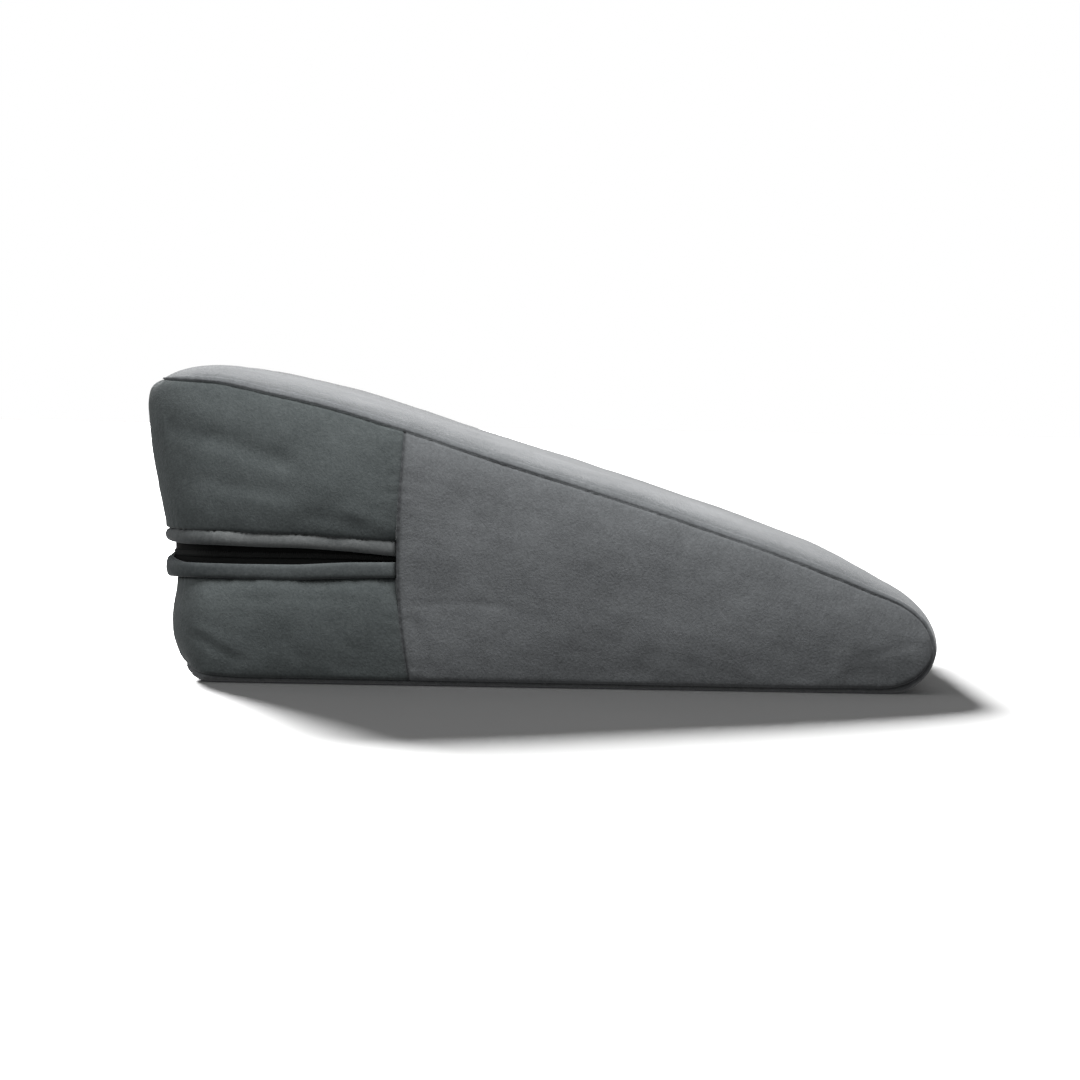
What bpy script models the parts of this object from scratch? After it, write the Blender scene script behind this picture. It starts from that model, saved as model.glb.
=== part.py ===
"""Wedge pillow: a foam wedge in a sewn velour cover, with a zip round its tall end.

Metres, +Z up. The wedge lies on z = 0. Its thin toe points to +X, its tall end to -X, and it is
alike on both sides of the plane y = 0. The cover is a band, which runs over the top, round the
toe and under the base, and a wall, which runs along one side, round the tall end and back along
the other side. The half at y < 0 is lofted from the wall and the band, and then mirrored.
"""

import math

import bmesh
import bpy
import numpy as np

# Wedge
SEAM_HALF_WIDTH = 0.2975
REAR_X = -0.300
CORNER_RADIUS = 0.042
CORNER_STEPS = 6
SEAM_DEPTH = 0.003
MESH_GAP = 0.0003

# Fullness of the filled cover: of the sides, of the top and of the toe
SIDE_FULLNESS = 0.009
SIDE_SHARP_SHARE = 0.38
SIDE_SHARP_RUN = 0.003
SIDE_BROAD_RUN = 0.030
CROWN = 0.0168
CROWN_RUN = 0.085
CROWN_RUN_REAR = 0.080
TOE_FULLNESS = 0.008
TOE_RUN = 0.08
TOE_UNDERSIDE_X = 0.285
BASE_EDGE_RUN = 0.014
BASE_REAR_RUN = 0.024

# Upright panel seam that ends the zip on each side. It leans to the toe above and below.
PANEL_SEAM_X = -0.1135
PANEL_SEAM_HEIGHT = 0.105
PANEL_SEAM_BEND_ABOVE = 0.43
PANEL_SEAM_BEND_BELOW = 1.0
PANEL_SEAM_FADE = 0.07
PANEL_SEAM_DEPTH = 0.0025
PANEL_SEAM_RUN = 0.006
ZIP_END_X = PANEL_SEAM_X - 0.0025

# Zip and its two welts, as depths from their common outer line
FACE_LINE_SIDE = 0.0005
FACE_LINE_REAR = -0.0060
CHANNEL_DEPTH = 0.0073
TAPE_FACE = -0.0048
TAPE_BACK = -0.0070
COIL_PROUD = 0.0012
COIL_HALF_HEIGHT = 0.0025
COIL_CREST_SHARE = 0.6
COIL_CLEARANCE = 0.0005
WELT_BACK = TAPE_FACE + MESH_GAP
WELT_FRONT = 0.0030
WELT_ROLL = 0.0045
WELT_ROLL_TURN = math.radians(62.0)
WELT_ROLL_POINTS = 6

# Where the wall meets the welts, as distances out from the side and the rear lines
PINCH_RUN = 0.014
PINCH_ABOVE_SIDE = 0.0
PINCH_BELOW_SIDE = -0.0055
PINCH_ABOVE_REAR = -0.0040
PINCH_BELOW_REAR = -0.0125

# Seam between wall and band along the top, from the tall end to the toe's tip
TOP_SEAM = (
    # x, z
    (-0.3010, 0.2345),
    (-0.2580, 0.2325),
    (-0.2200, 0.2250),
    (-0.1760, 0.2154),
    (-0.1140, 0.1970),
    (-0.0200, 0.1690),
    (0.1045, 0.1307),
    (0.2000, 0.0985),
    (0.2500, 0.0795),
    (0.2800, 0.0670),
    (0.2960, 0.0530),
    (0.3020, 0.0360),
)

# Seam between wall and band along the base, from the tall end to the toe's tip
BASE_SEAM = (
    # x, z
    (-0.2785, 0.0130),
    (-0.2660, 0.0070),
    (-0.2450, 0.0045),
    (-0.1800, 0.0040),
    (0.0000, 0.0035),
    (0.2400, 0.0035),
    (0.2740, 0.0050),
    (0.2900, 0.0120),
    (0.2985, 0.0225),
    (0.3020, 0.0360),
)

# How far the tall end stands out from the rear line at each height
REAR_PROFILE = (
    # z, outward
    (0.0130, -0.0215),
    (0.0193, -0.0164),
    (0.0316, -0.0115),
    (0.0530, -0.0096),
    (0.0800, -0.0123),
    (0.1200, -0.0030),
    (0.1553, 0.0038),
    (0.1925, 0.0091),
    (0.2150, 0.0110),
    (0.2280, 0.0085),
    (0.2345, 0.0010),
)

# Edges of the two welts, from the tall end to the panel seam
WELT_EDGES = (
    # x, upper welt's top, upper welt's foot, lower welt's top, lower welt's foot
    (-0.3000, 0.1185, 0.1070, 0.0925, 0.0812),
    (-0.2350, 0.1185, 0.1066, 0.0918, 0.0808),
    (-0.1900, 0.1172, 0.1060, 0.0928, 0.0813),
    (-0.1500, 0.1150, 0.1035, 0.0946, 0.0824),
    (-0.1135, 0.1125, 0.0998, 0.0958, 0.0840),
)

# Mesh lines of the wall: upright ones along the side, and rows below and above the zip
SIDE_LINES = 16
SEAM_LINES = (0.003, 0.0, -0.0015, -0.0025)
PANEL_LINES = 6
LOWER_ROWS = (0.0, 0.04, 0.10, 0.20, 0.38, 0.58, 0.76, 0.90, 1.0)
UPPER_ROWS = (0.0, 0.06, 0.16, 0.30, 0.46, 0.62, 0.78, 0.90, 0.96, 1.0)
FLOOR_ROWS = (len(LOWER_ROWS), len(LOWER_ROWS) + 1)
FRONT_ROW_SPREAD = 0.3

# Distances of the band's mesh lines from its side seam, out to the middle plane
BAND_STEPS = (0.0, 0.003, 0.008, 0.017, 0.032, 0.055, 0.090, 0.140, 0.200, SEAM_HALF_WIDTH)


def clear_scene():
    for thing in list(bpy.data.objects):
        bpy.data.objects.remove(thing, do_unlink=True)


def collection(name):
    group = bpy.data.collections.new(name)
    bpy.context.scene.collection.children.link(group)
    return group


def material(name, colour, roughness):
    made = bpy.data.materials.new(name)
    made.use_nodes = True
    shader = made.node_tree.nodes["Principled BSDF"]
    shader.inputs["Base Color"].default_value = (*colour, 1.0)
    shader.inputs["Roughness"].default_value = roughness
    made.diffuse_color = (*colour, 1.0)
    return made


def smooth_step(share):
    share = min(max(share, 0.0), 1.0)
    return share * share * (3.0 - 2.0 * share)


def mix(first, second, share):
    return first + (second - first) * share


def rounded(distance, run):
    """Height share of a quarter round of the given run, 0 at its edge and 1 past its run."""
    left = 1.0 - min(distance / run, 1.0)
    return math.sqrt(1.0 - left * left)


def curve_through(table, steps=40):
    """Points of a cubic Hermite curve through the table's points, with even slopes at each."""
    points = np.array(table, dtype=float)
    lengths = np.sqrt(np.linalg.norm(np.diff(points, axis=0), axis=1))
    times = np.concatenate([[0.0], np.cumsum(lengths)])
    slopes = np.gradient(points, times, axis=0)
    fine = np.linspace(0.0, times[-1], steps * len(points))
    start = np.clip(np.searchsorted(times, fine, side="right") - 1, 0, len(points) - 2)
    span = (times[start + 1] - times[start])[:, None]
    t = (fine - times[start])[:, None] / span
    place = points[start] * (2.0 * t**3 - 3.0 * t**2 + 1.0)
    place += points[start + 1] * (3.0 * t**2 - 2.0 * t**3)
    place += slopes[start] * span * (t**3 - 2.0 * t**2 + t)
    place += slopes[start + 1] * span * (t**3 - t**2)
    return place


TOP_CURVE = curve_through(TOP_SEAM)
BASE_CURVE = curve_through(BASE_SEAM)
REAR_CURVE = curve_through(REAR_PROFILE)
WELT_TABLE = np.array(WELT_EDGES)
TIP_X, TIP_Z = TOP_SEAM[-1]
CORNER_X = REAR_X + CORNER_RADIUS
CORNER_Y = -(SEAM_HALF_WIDTH - CORNER_RADIUS)


def value_at(curve, place):
    return float(np.interp(place, curve[:, 0], curve[:, 1]))


def welt_edges(x):
    """Heights of the upper welt's top and foot and of the lower welt's top and foot."""
    return [float(np.interp(x, WELT_TABLE[:, 0], edge)) for edge in WELT_TABLE[:, 1:].T]


def panel_seam_bow(z):
    """How far the panel seam leans to the toe at height z."""
    rise = z - PANEL_SEAM_HEIGHT
    bend = PANEL_SEAM_BEND_ABOVE if rise > 0.0 else PANEL_SEAM_BEND_BELOW
    return bend * rise * rise


class Station:
    """One upright line of the wall. Its value is an x on the side, a turn in radians in the
    rounded corner, or a y across the tall end."""

    def __init__(self, kind, value):
        self.kind = kind
        self.value = value
        self.turn = {"side": 0.0, "corner": value, "rear": math.pi / 2.0}[kind]
        self.line_x = value if kind == "side" else CORNER_X - CORNER_RADIUS * math.sin(self.turn)
        rear_share = smooth_step(self.turn / (math.pi / 2.0))
        side_x = max(self.line_x, CORNER_X)
        self.base = mix(value_at(BASE_CURVE, side_x), BASE_SEAM[0][1], rear_share)
        self.top = mix(value_at(TOP_CURVE, side_x), TOP_SEAM[0][1], rear_share)
        self.has_zip = self.line_x < ZIP_END_X + MESH_GAP

    def place(self, z, side_out, rear_out):
        """Point at height z, that far out from the side line and from the rear line."""
        if self.kind == "side":
            near = 1.0 - min(abs(self.value - PANEL_SEAM_X) / PANEL_SEAM_FADE, 1.0)
            x = self.value + near * panel_seam_bow(z)
            return (x, -(SEAM_HALF_WIDTH + side_out), z)
        x = CORNER_X - (CORNER_RADIUS + rear_out) * math.sin(self.turn)
        if self.kind == "rear":
            return (x, self.value, z)
        y = CORNER_Y - (CORNER_RADIUS + side_out) * math.cos(self.turn)
        return (x, y, z)


def side_stations():
    """Side lines from the toe's tip to the rounded corner, closer at the tip and the seam."""
    run = TIP_X - (PANEL_SEAM_X + 0.010)
    lines = [TIP_X - run * (k / SIDE_LINES) ** 2 for k in range(1, SIDE_LINES + 1)]
    lines += [PANEL_SEAM_X + step for step in SEAM_LINES]
    lines += list(np.linspace(PANEL_SEAM_X - 0.020, CORNER_X, PANEL_LINES))
    return [Station("side", float(x)) for x in lines]


def corner_stations():
    turns = np.linspace(0.0, math.pi / 2.0, CORNER_STEPS + 1)[1:-1]
    return [Station("corner", float(turn)) for turn in turns]


def rear_stations():
    """Lines across the tall end, from the rounded corner to the middle plane."""
    return [Station("rear", CORNER_Y * (1.0 - step / SEAM_HALF_WIDTH)) for step in BAND_STEPS]


def lift(distance):
    """Share of the side's fullness at this distance from a seam."""
    sharp = 1.0 - math.exp(-distance / SIDE_SHARP_RUN)
    broad = 1.0 - math.exp(-distance / SIDE_BROAD_RUN)
    return mix(broad, sharp, SIDE_SHARP_SHARE)


def pinch(station, z, outward, above, below):
    """The wall's distance out, drawn in to the welts where the zip is sewn in."""
    if not station.has_zip:
        return outward
    top, _, _, foot = welt_edges(station.line_x)
    if z >= 0.5 * (top + foot):
        return mix(outward, above, math.exp(-max(z - top, 0.0) / PINCH_RUN))
    return mix(outward, below, math.exp(-max(foot - z, 0.0) / PINCH_RUN))


def side_distance(station, z):
    """How far the side stands out from its line at height z."""
    below = max(z - station.base, 0.0)
    above = max(station.top - z, 0.0)
    outward = SIDE_FULLNESS * lift(below) * lift(above) - SEAM_DEPTH
    outward = pinch(station, z, outward, PINCH_ABOVE_SIDE, PINCH_BELOW_SIDE)
    beside = abs(station.line_x - PANEL_SEAM_X) / PANEL_SEAM_RUN
    return outward - PANEL_SEAM_DEPTH * max(1.0 - beside, 0.0)


def rear_distance(station, z):
    """How far the tall end stands out from its line at height z."""
    return pinch(station, z, value_at(REAR_CURVE, z), PINCH_ABOVE_REAR, PINCH_BELOW_REAR)


def channel_heights(station):
    """Heights of the lower and the upper edge of the zip's channel, carried on to the toe."""
    if station.has_zip:
        top, _, _, foot = welt_edges(station.line_x)
        return foot - MESH_GAP, top + MESH_GAP
    top, _, _, foot = welt_edges(PANEL_SEAM_X)
    seam = Station("side", PANEL_SEAM_X)
    shares = [(z - seam.base) / (seam.top - seam.base) for z in (foot, top)]
    return [mix(station.base, station.top, share) for share in shares]


def wall_heights(station):
    """Heights of the wall's rows, with the two rows of the channel's floor between them."""
    low, high = channel_heights(station)
    spread = 0.0 if station.has_zip else FRONT_ROW_SPREAD * (high - low)
    rows = [mix(station.base, low, share) for share in LOWER_ROWS]
    rows += [low + spread, high - spread]
    rows += [mix(high, station.top, share) for share in UPPER_ROWS]
    return rows


def wall_column(station):
    """Points of one upright line of the wall, from the base seam to the top seam."""
    column = []
    for row, z in enumerate(wall_heights(station)):
        if station.has_zip and row in FLOOR_ROWS:
            side_out = FACE_LINE_SIDE - CHANNEL_DEPTH
            rear_out = FACE_LINE_REAR - CHANNEL_DEPTH
        else:
            side_out = side_distance(station, z)
            rear_out = rear_distance(station, z)
        column.append(station.place(z, side_out, rear_out))
    return column


def band_line(edge, kind, outward, to_rear):
    """Points of the band from the seam point edge to the middle plane.

    The top and the toe swell along outward. The base settles on the plane z = 0.
    """
    x, y, z = edge
    fullness = mix(TOE_FULLNESS, CROWN, smooth_step((TIP_X - x) / TOE_RUN))
    line = []
    for step in BAND_STEPS:
        step *= -y / SEAM_HALF_WIDTH
        if kind == "base":
            share = rounded(step, BASE_EDGE_RUN) * rounded(to_rear, BASE_REAR_RUN)
            line.append((x, y + step, z * (1.0 - share)))
            continue
        share = rounded(step, CROWN_RUN) * rounded(to_rear, CROWN_RUN_REAR)
        swell = fullness * share
        line.append((x + outward[0] * swell, y + step, max(z + outward[1] * swell, 0.0)))
    return line


def outline_normals(points):
    """Outward directions in the side view along an outline that runs from the rear over the top."""
    run = np.gradient(np.array(points)[:, [0, 2]], axis=0)
    normals = np.column_stack([-run[:, 1], run[:, 0]])
    return normals / np.linalg.norm(normals, axis=1)[:, None]


def band_grid(tops, bases, rear_top, rear_base):
    """Lines of the band: the rear's top seam, the top, the toe, the base, the rear's base seam."""
    normals = outline_normals([rear_top[0]] + tops + bases + [rear_base[0]])[1:-1]
    band = [rear_top]
    for edge, normal in zip(tops, normals):
        band.append(band_line(edge, "top", normal, edge[0] - rear_top[0][0]))
    for edge, normal in zip(bases, normals[len(tops):]):
        kind = "base" if edge[0] < TOE_UNDERSIDE_X else "toe"
        band.append(band_line(edge, kind, normal, edge[0] - rear_base[0][0]))
    return band + [rear_base]


def grid_faces(grid):
    """Faces of a grid of vertex numbers, without the ones that a shared corner closes."""
    faces = []
    for first, second in zip(grid, grid[1:]):
        for j in range(len(first) - 1):
            ring = (first[j], second[j], second[j + 1], first[j + 1])
            corners = [corner for k, corner in enumerate(ring) if corner != ring[k - 1]]
            if len(corners) > 2:
                faces.append(corners)
    return faces


def number_points(grids):
    """One vertex list for several grids that share their edge points, and the numbered grids."""
    numbers = {}
    points = []
    for grid in grids:
        for line in grid:
            for point in line:
                key = tuple(round(value, 6) for value in point)
                if key not in numbers:
                    numbers[key] = len(points)
                    points.append(point)
    numbered = [
        [[numbers[tuple(round(value, 6) for value in point)] for point in line] for line in grid]
        for grid in grids
    ]
    return points, numbered


def mirrored_object(name, points, faces, group, finish):
    """Object made of a half that is open at y = 0, completed by a Mirror modifier."""
    mesh = bpy.data.meshes.new(name)
    mesh.from_pydata(points, [], faces)
    shape = bmesh.new()
    shape.from_mesh(mesh)
    bmesh.ops.recalc_face_normals(shape, faces=shape.faces)
    shape.to_mesh(mesh)
    shape.free()
    mesh.shade_smooth()
    mesh.set_sharp_from_angle(angle=math.radians(50.0))
    mesh.materials.append(finish)
    made = bpy.data.objects.new(name, mesh)
    group.objects.link(made)
    halves = made.modifiers.new("Other half", "MIRROR")
    halves.use_axis = (False, True, False)
    halves.use_clip = True
    halves.merge_threshold = 0.0001
    return made


def build_cushion(group, finish):
    """The filled wedge, from its wall and its band of top, toe and base."""
    sides = side_stations() + corner_stations()
    side_columns = [wall_column(station) for station in sides]
    rear_columns = [wall_column(station) for station in rear_stations()]
    tip = (TIP_X, -(SEAM_HALF_WIDTH - SEAM_DEPTH), TIP_Z)
    tip_column = [tip] * len(side_columns[0])
    wall = [tip_column] + side_columns + rear_columns
    tops = [column[-1] for column in reversed(side_columns)] + [tip]
    bases = [column[0] for column in side_columns]
    rear_top = [column[-1] for column in rear_columns]
    rear_base = [column[0] for column in rear_columns]
    band = band_grid(tops, bases, rear_top, rear_base)
    points, grids = number_points((wall, band))
    faces = grid_faces(grids[0]) + grid_faces(grids[1])
    mirrored_object("cushion", points, faces, group, finish)


def zip_stations():
    """Lines along the zip, from just behind the panel seam to the middle of the tall end."""
    sides = [station for station in side_stations() if station.value < ZIP_END_X - MESH_GAP]
    start = Station("side", ZIP_END_X - MESH_GAP)
    return [start] + sides + corner_stations() + rear_stations()


def build_strip(name, section_at, group, finish):
    """Strip round the tall end, whose section at each line is a ring of (depth, height) points."""
    rings = []
    for station in zip_stations():
        ring = [
            station.place(z, FACE_LINE_SIDE + depth, FACE_LINE_REAR + depth)
            for depth, z in section_at(station)
        ]
        rings.append(ring + ring[:1])
    points, (grid,) = number_points((rings,))
    faces = grid_faces(grid) + [grid[0][:-1]]
    mirrored_object(name, points, faces, group, finish)


def roll_section(foot, top):
    """Section of a folded welt: flat at its back on the tape, a soft roll in front."""
    middle = 0.5 * (foot + top)
    tall = 0.5 * (top - foot)
    shoulder = WELT_FRONT - WELT_ROLL
    section = [(WELT_BACK, foot), (shoulder, foot)]
    for turn in np.linspace(-WELT_ROLL_TURN, WELT_ROLL_TURN, WELT_ROLL_POINTS):
        depth = shoulder + WELT_ROLL * math.cos(turn)
        section.append((depth, middle + tall * math.sin(turn)))
    return section + [(shoulder, top), (WELT_BACK, top)]


def upper_section(station):
    top, foot, _, _ = welt_edges(station.line_x)
    return roll_section(foot, top)


def lower_section(station):
    _, _, top, foot = welt_edges(station.line_x)
    return roll_section(foot, top)


def tape_section(station):
    """Section of the zip: a flat tape with the coil's ridge along its middle."""
    top, upper_foot, lower_top, foot = welt_edges(station.line_x)
    middle = 0.5 * (upper_foot + lower_top)
    half = min(COIL_HALF_HEIGHT, 0.5 * (upper_foot - lower_top) - COIL_CLEARANCE)
    crest = TAPE_FACE + COIL_PROUD
    return [
        (TAPE_BACK, foot),
        (TAPE_FACE, foot),
        (TAPE_FACE, middle - half),
        (crest, middle - COIL_CREST_SHARE * half),
        (crest, middle + COIL_CREST_SHARE * half),
        (TAPE_FACE, middle + half),
        (TAPE_FACE, top),
        (TAPE_BACK, top),
    ]


def build():
    clear_scene()
    group = collection("wedge_pillow")
    velour = material("velour", (0.075, 0.080, 0.085), 0.9)
    welt_velour = material("welt_velour", (0.085, 0.090, 0.092), 0.9)
    zip_black = material("zip_black", (0.008, 0.008, 0.009), 0.55)
    build_cushion(group, velour)
    build_strip("upper_welt", upper_section, group, welt_velour)
    build_strip("lower_welt", lower_section, group, welt_velour)
    build_strip("zip_tape", tape_section, group, zip_black)


build()
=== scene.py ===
"""Looks of the wedge pillow: its sewn velour cover, the two rolled welts and the zip.

Metres, +Z up, in the frame of the CAD model. The wedge lies on z = 0, its thin toe points to +X
and its tall end to -X, and the side that the photograph shows faces -Y. The cover's wall and band
are the same surfaces as in the CAD source, on a much finer mesh, with the relief of the cloth:
seams, puckers, creases and the soft unevenness of velour over foam.
"""

import math

import bpy
import numpy as np
from mathutils import Matrix, Vector


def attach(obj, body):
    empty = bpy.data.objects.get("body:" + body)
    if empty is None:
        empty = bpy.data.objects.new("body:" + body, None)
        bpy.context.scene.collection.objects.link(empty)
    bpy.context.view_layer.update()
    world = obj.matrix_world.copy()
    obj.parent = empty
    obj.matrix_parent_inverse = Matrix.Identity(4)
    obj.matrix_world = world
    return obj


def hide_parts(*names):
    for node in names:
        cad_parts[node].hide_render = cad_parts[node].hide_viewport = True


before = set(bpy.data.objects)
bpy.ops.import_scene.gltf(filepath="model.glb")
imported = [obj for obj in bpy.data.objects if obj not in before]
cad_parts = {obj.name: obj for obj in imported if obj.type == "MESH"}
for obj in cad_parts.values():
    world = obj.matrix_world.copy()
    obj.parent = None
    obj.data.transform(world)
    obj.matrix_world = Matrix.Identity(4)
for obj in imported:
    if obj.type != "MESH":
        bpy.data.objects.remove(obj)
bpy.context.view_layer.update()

# Wedge, as in the CAD source
SEAM_HALF_WIDTH = 0.2975
REAR_X = -0.300
CORNER_RADIUS = 0.042
MESH_GAP = 0.0003
SIDE_FULLNESS = 0.009
SIDE_SHARP_SHARE = 0.38
SIDE_BROAD_RUN = 0.030
SIDE_SET_IN = 0.003
CROWN = 0.0158
CROWN_RUN = 0.085
CROWN_RUN_REAR = 0.080
TOE_FULLNESS = 0.008
TOE_RUN = 0.08
TOE_SETTLE_X = 0.272
TOE_SETTLE_RUN = 0.020
BASE_EDGE_RUN = 0.014
BASE_REAR_RUN = 0.024

# Upright panel seam that ends the zip on each side
PANEL_SEAM_X = -0.1135
PANEL_SEAM_HEIGHT = 0.105
PANEL_SEAM_BEND_ABOVE = 0.43
PANEL_SEAM_BEND_BELOW = 1.0
PANEL_SEAM_FADE = 0.07
FRONT_END_X = PANEL_SEAM_X - 0.0003
ZIP_END_X = PANEL_SEAM_X - 0.0010

# Zip and its two welts, as depths from their common outer line
FACE_LINE_SIDE = 0.0005
FACE_LINE_REAR = -0.0060
CHANNEL_DEPTH = 0.0073
TAPE_FACE = -0.0048
TAPE_BACK = -0.0070
WELT_BACK = TAPE_FACE + MESH_GAP
WELT_FRONT = 0.0032
PINCH_RUN = 0.014
PINCH_ABOVE_SIDE = 0.0
PINCH_BELOW_SIDE = -0.0055
PINCH_ABOVE_REAR = -0.0040
PINCH_BELOW_REAR = -0.0125

# Seam between wall and band along the top, from the tall end to the toe's tip: x, z
TOP_SEAM = (
    (-0.3010, 0.2345),
    (-0.2580, 0.2325),
    (-0.2200, 0.2250),
    (-0.1760, 0.2154),
    (-0.1140, 0.1970),
    (-0.0200, 0.1690),
    (0.1045, 0.1307),
    (0.2000, 0.0985),
    (0.2500, 0.0795),
    (0.2800, 0.0670),
    (0.2960, 0.0530),
    (0.3020, 0.0360),
)

# Seam between wall and band along the base, from the tall end to the toe's tip: x, z
BASE_SEAM = (
    (-0.2785, 0.0130),
    (-0.2660, 0.0070),
    (-0.2450, 0.0045),
    (-0.1800, 0.0040),
    (0.0000, 0.0035),
    (0.2400, 0.0035),
    (0.2740, 0.0050),
    (0.2900, 0.0120),
    (0.2985, 0.0225),
    (0.3020, 0.0360),
)

# How far the tall end stands out from the rear line at each height: z, outward
REAR_PROFILE = (
    (0.0130, -0.0215),
    (0.0193, -0.0164),
    (0.0316, -0.0115),
    (0.0530, -0.0096),
    (0.0800, -0.0123),
    (0.1200, -0.0030),
    (0.1553, 0.0038),
    (0.1925, 0.0091),
    (0.2150, 0.0110),
    (0.2280, 0.0085),
    (0.2345, 0.0010),
)

# Edges of the two welts: x, upper welt's top and foot, lower welt's top and foot
WELT_EDGES = (
    (-0.3000, 0.1185, 0.1070, 0.0925, 0.0812),
    (-0.2350, 0.1185, 0.1066, 0.0918, 0.0808),
    (-0.1900, 0.1172, 0.1060, 0.0928, 0.0813),
    (-0.1500, 0.1150, 0.1035, 0.0946, 0.0824),
    (-0.1135, 0.1125, 0.0998, 0.0958, 0.0840),
)

# Fine mesh of the cover: lines along each side, rows up the wall, points across the band
TIP_EASE = 0.030
CROSS_EASE = 0.0066
FRONT_LINES = 140
ZIP_SIDE_LINES = 56
CORNER_LINES = 34
HALF_CROSS = 50
LOWER_ROWS = 34
CHANNEL_ROWS = 3
UPPER_ROWS = 46
FRONT_ROW_SPREAD = 0.25

# Sewn seams: how deep the groove is and how far its rounded lips reach
SEAM_GROOVE = 0.0016
SEAM_LIP = 0.0026
BASE_SEAM_GROOVE = 0.0009
REAR_SEAM_GROOVE = 0.0013
PANEL_GROOVE = 0.0022
PANEL_LIP = 0.0022
WELT_GROOVE = 0.0015
WELT_LIP = 0.0020
PUCKER = 0.00055
PUCKER_PITCH = 0.0098
PUCKER_REACH = 0.0065
STITCH_PITCH = 0.0078
STITCH_WAVE_SCALE = 2.0 * math.pi / (20.0 * STITCH_PITCH)

# Soft unevenness of the cloth over the foam: wavelength, height
UNEVENNESS = ((0.170, 0.0007), (0.060, 0.00040), (0.019, 0.00014))
BAND_UNEVENNESS = 0.4

# Extra fullness of the side panels beside their long seams
WALL_SWELL = 0.0030
WALL_SWELL_RUN = 0.014
WALL_SWELL_BASE_RUN = 0.0012

# Seam allowance that shows through the band as a low step beside the side seams
ALLOWANCE = 0.0007
ALLOWANCE_WIDTH = 0.0070
ALLOWANCE_FADE = 0.0016
RELIEF_LIMIT = 0.006

# Creases as the photograph shows them on the near side: start x, z, end x, z, sag, half width,
# height above the cloth (below it where negative)
CREASE_SCALE = 1.2
NEAR_CREASES = (
    (-0.3000, 0.2010, -0.2520, 0.1880, 0.0000, 0.0090, -0.0014),
    (-0.2620, 0.1910, -0.1960, 0.1690, 0.0010, 0.0085, -0.0016),
    (-0.2650, 0.1580, -0.1960, 0.1460, -0.0010, 0.0075, -0.0008),
    (-0.2420, 0.1460, -0.1880, 0.1340, 0.0010, 0.0060, 0.0005),
    (-0.1570, 0.1380, -0.1160, 0.1190, -0.0015, 0.0065, 0.0008),
    (-0.1900, 0.1300, -0.1300, 0.1235, 0.0010, 0.0050, -0.0006),
    (-0.2540, 0.0630, -0.1300, 0.0640, 0.0015, 0.0026, -0.0005),
    (-0.2750, 0.0376, -0.2540, 0.0260, 0.0020, 0.0034, -0.0007),
    (-0.2540, 0.0260, -0.2306, 0.0159, 0.0010, 0.0034, -0.0006),
    (-0.2700, 0.0440, -0.2380, 0.0230, 0.0020, 0.0040, 0.0005),
    (-0.1996, 0.0376, -0.1880, 0.0159, 0.0005, 0.0030, -0.0004),
    (-0.1700, 0.0500, -0.1450, 0.0260, -0.0010, 0.0040, -0.0004),
    (-0.1066, 0.0880, -0.0717, 0.0880, 0.0005, 0.0030, -0.0004),
    (-0.1066, 0.0630, -0.0250, 0.0630, 0.0012, 0.0028, -0.0004),
    (-0.1027, 0.0530, -0.0870, 0.0066, 0.0010, 0.0050, -0.0006),
    (0.2366, 0.0240, 0.2985, 0.0400, 0.0010, 0.0040, -0.0004),
)

# Creases that aren't in view: on the far side as x, z, on the tall end as y, z, on the top as x, y
FAR_CREASES = (
    (-0.2950, 0.1850, -0.2200, 0.1700, 0.0010, 0.0070, -0.0012),
    (-0.2300, 0.1950, -0.1650, 0.1760, -0.0015, 0.0060, -0.0009),
    (-0.2000, 0.1450, -0.1200, 0.1300, 0.0010, 0.0050, 0.0008),
    (-0.2500, 0.0560, -0.1400, 0.0600, -0.0015, 0.0030, -0.0006),
    (-0.2700, 0.0400, -0.2300, 0.0170, 0.0020, 0.0036, -0.0009),
    (-0.0950, 0.0500, -0.0800, 0.0080, 0.0010, 0.0050, -0.0006),
    (0.2200, 0.0320, 0.2900, 0.0250, -0.0020, 0.0050, -0.0006),
)
REAR_CREASES = (
    (-0.2550, 0.2050, -0.1500, 0.1800, 0.0030, 0.0070, -0.0012),
    (0.2550, 0.2000, 0.1650, 0.1720, 0.0030, 0.0070, -0.0012),
    (-0.2000, 0.1450, -0.0300, 0.1380, 0.0030, 0.0060, -0.0009),
    (0.0600, 0.1500, 0.2300, 0.1420, -0.0030, 0.0060, -0.0009),
    (-0.1000, 0.1950, 0.0800, 0.1900, -0.0040, 0.0080, 0.0008),
    (-0.2400, 0.0550, -0.0800, 0.0500, 0.0020, 0.0035, -0.0007),
    (0.0500, 0.0580, 0.2300, 0.0540, -0.0020, 0.0035, -0.0007),
    (-0.2500, 0.0400, -0.2050, 0.0200, 0.0020, 0.0040, -0.0010),
    (0.2500, 0.0400, 0.2100, 0.0200, 0.0020, 0.0040, -0.0010),
)
TOP_CREASES = (
    (-0.2700, -0.2400, -0.1800, -0.1700, 0.0040, 0.0090, -0.0010),
    (-0.2700, 0.2300, -0.1700, 0.1500, -0.0040, 0.0090, -0.0010),
    (0.2600, -0.2300, 0.1900, -0.1500, 0.0040, 0.0080, -0.0009),
    (0.2600, 0.2400, 0.2000, 0.1400, -0.0040, 0.0080, -0.0009),
    (-0.1200, -0.2500, -0.0600, -0.1700, 0.0030, 0.0080, -0.0006),
    (0.0300, 0.2500, 0.0700, 0.1700, 0.0030, 0.0080, -0.0006),
)

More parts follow.
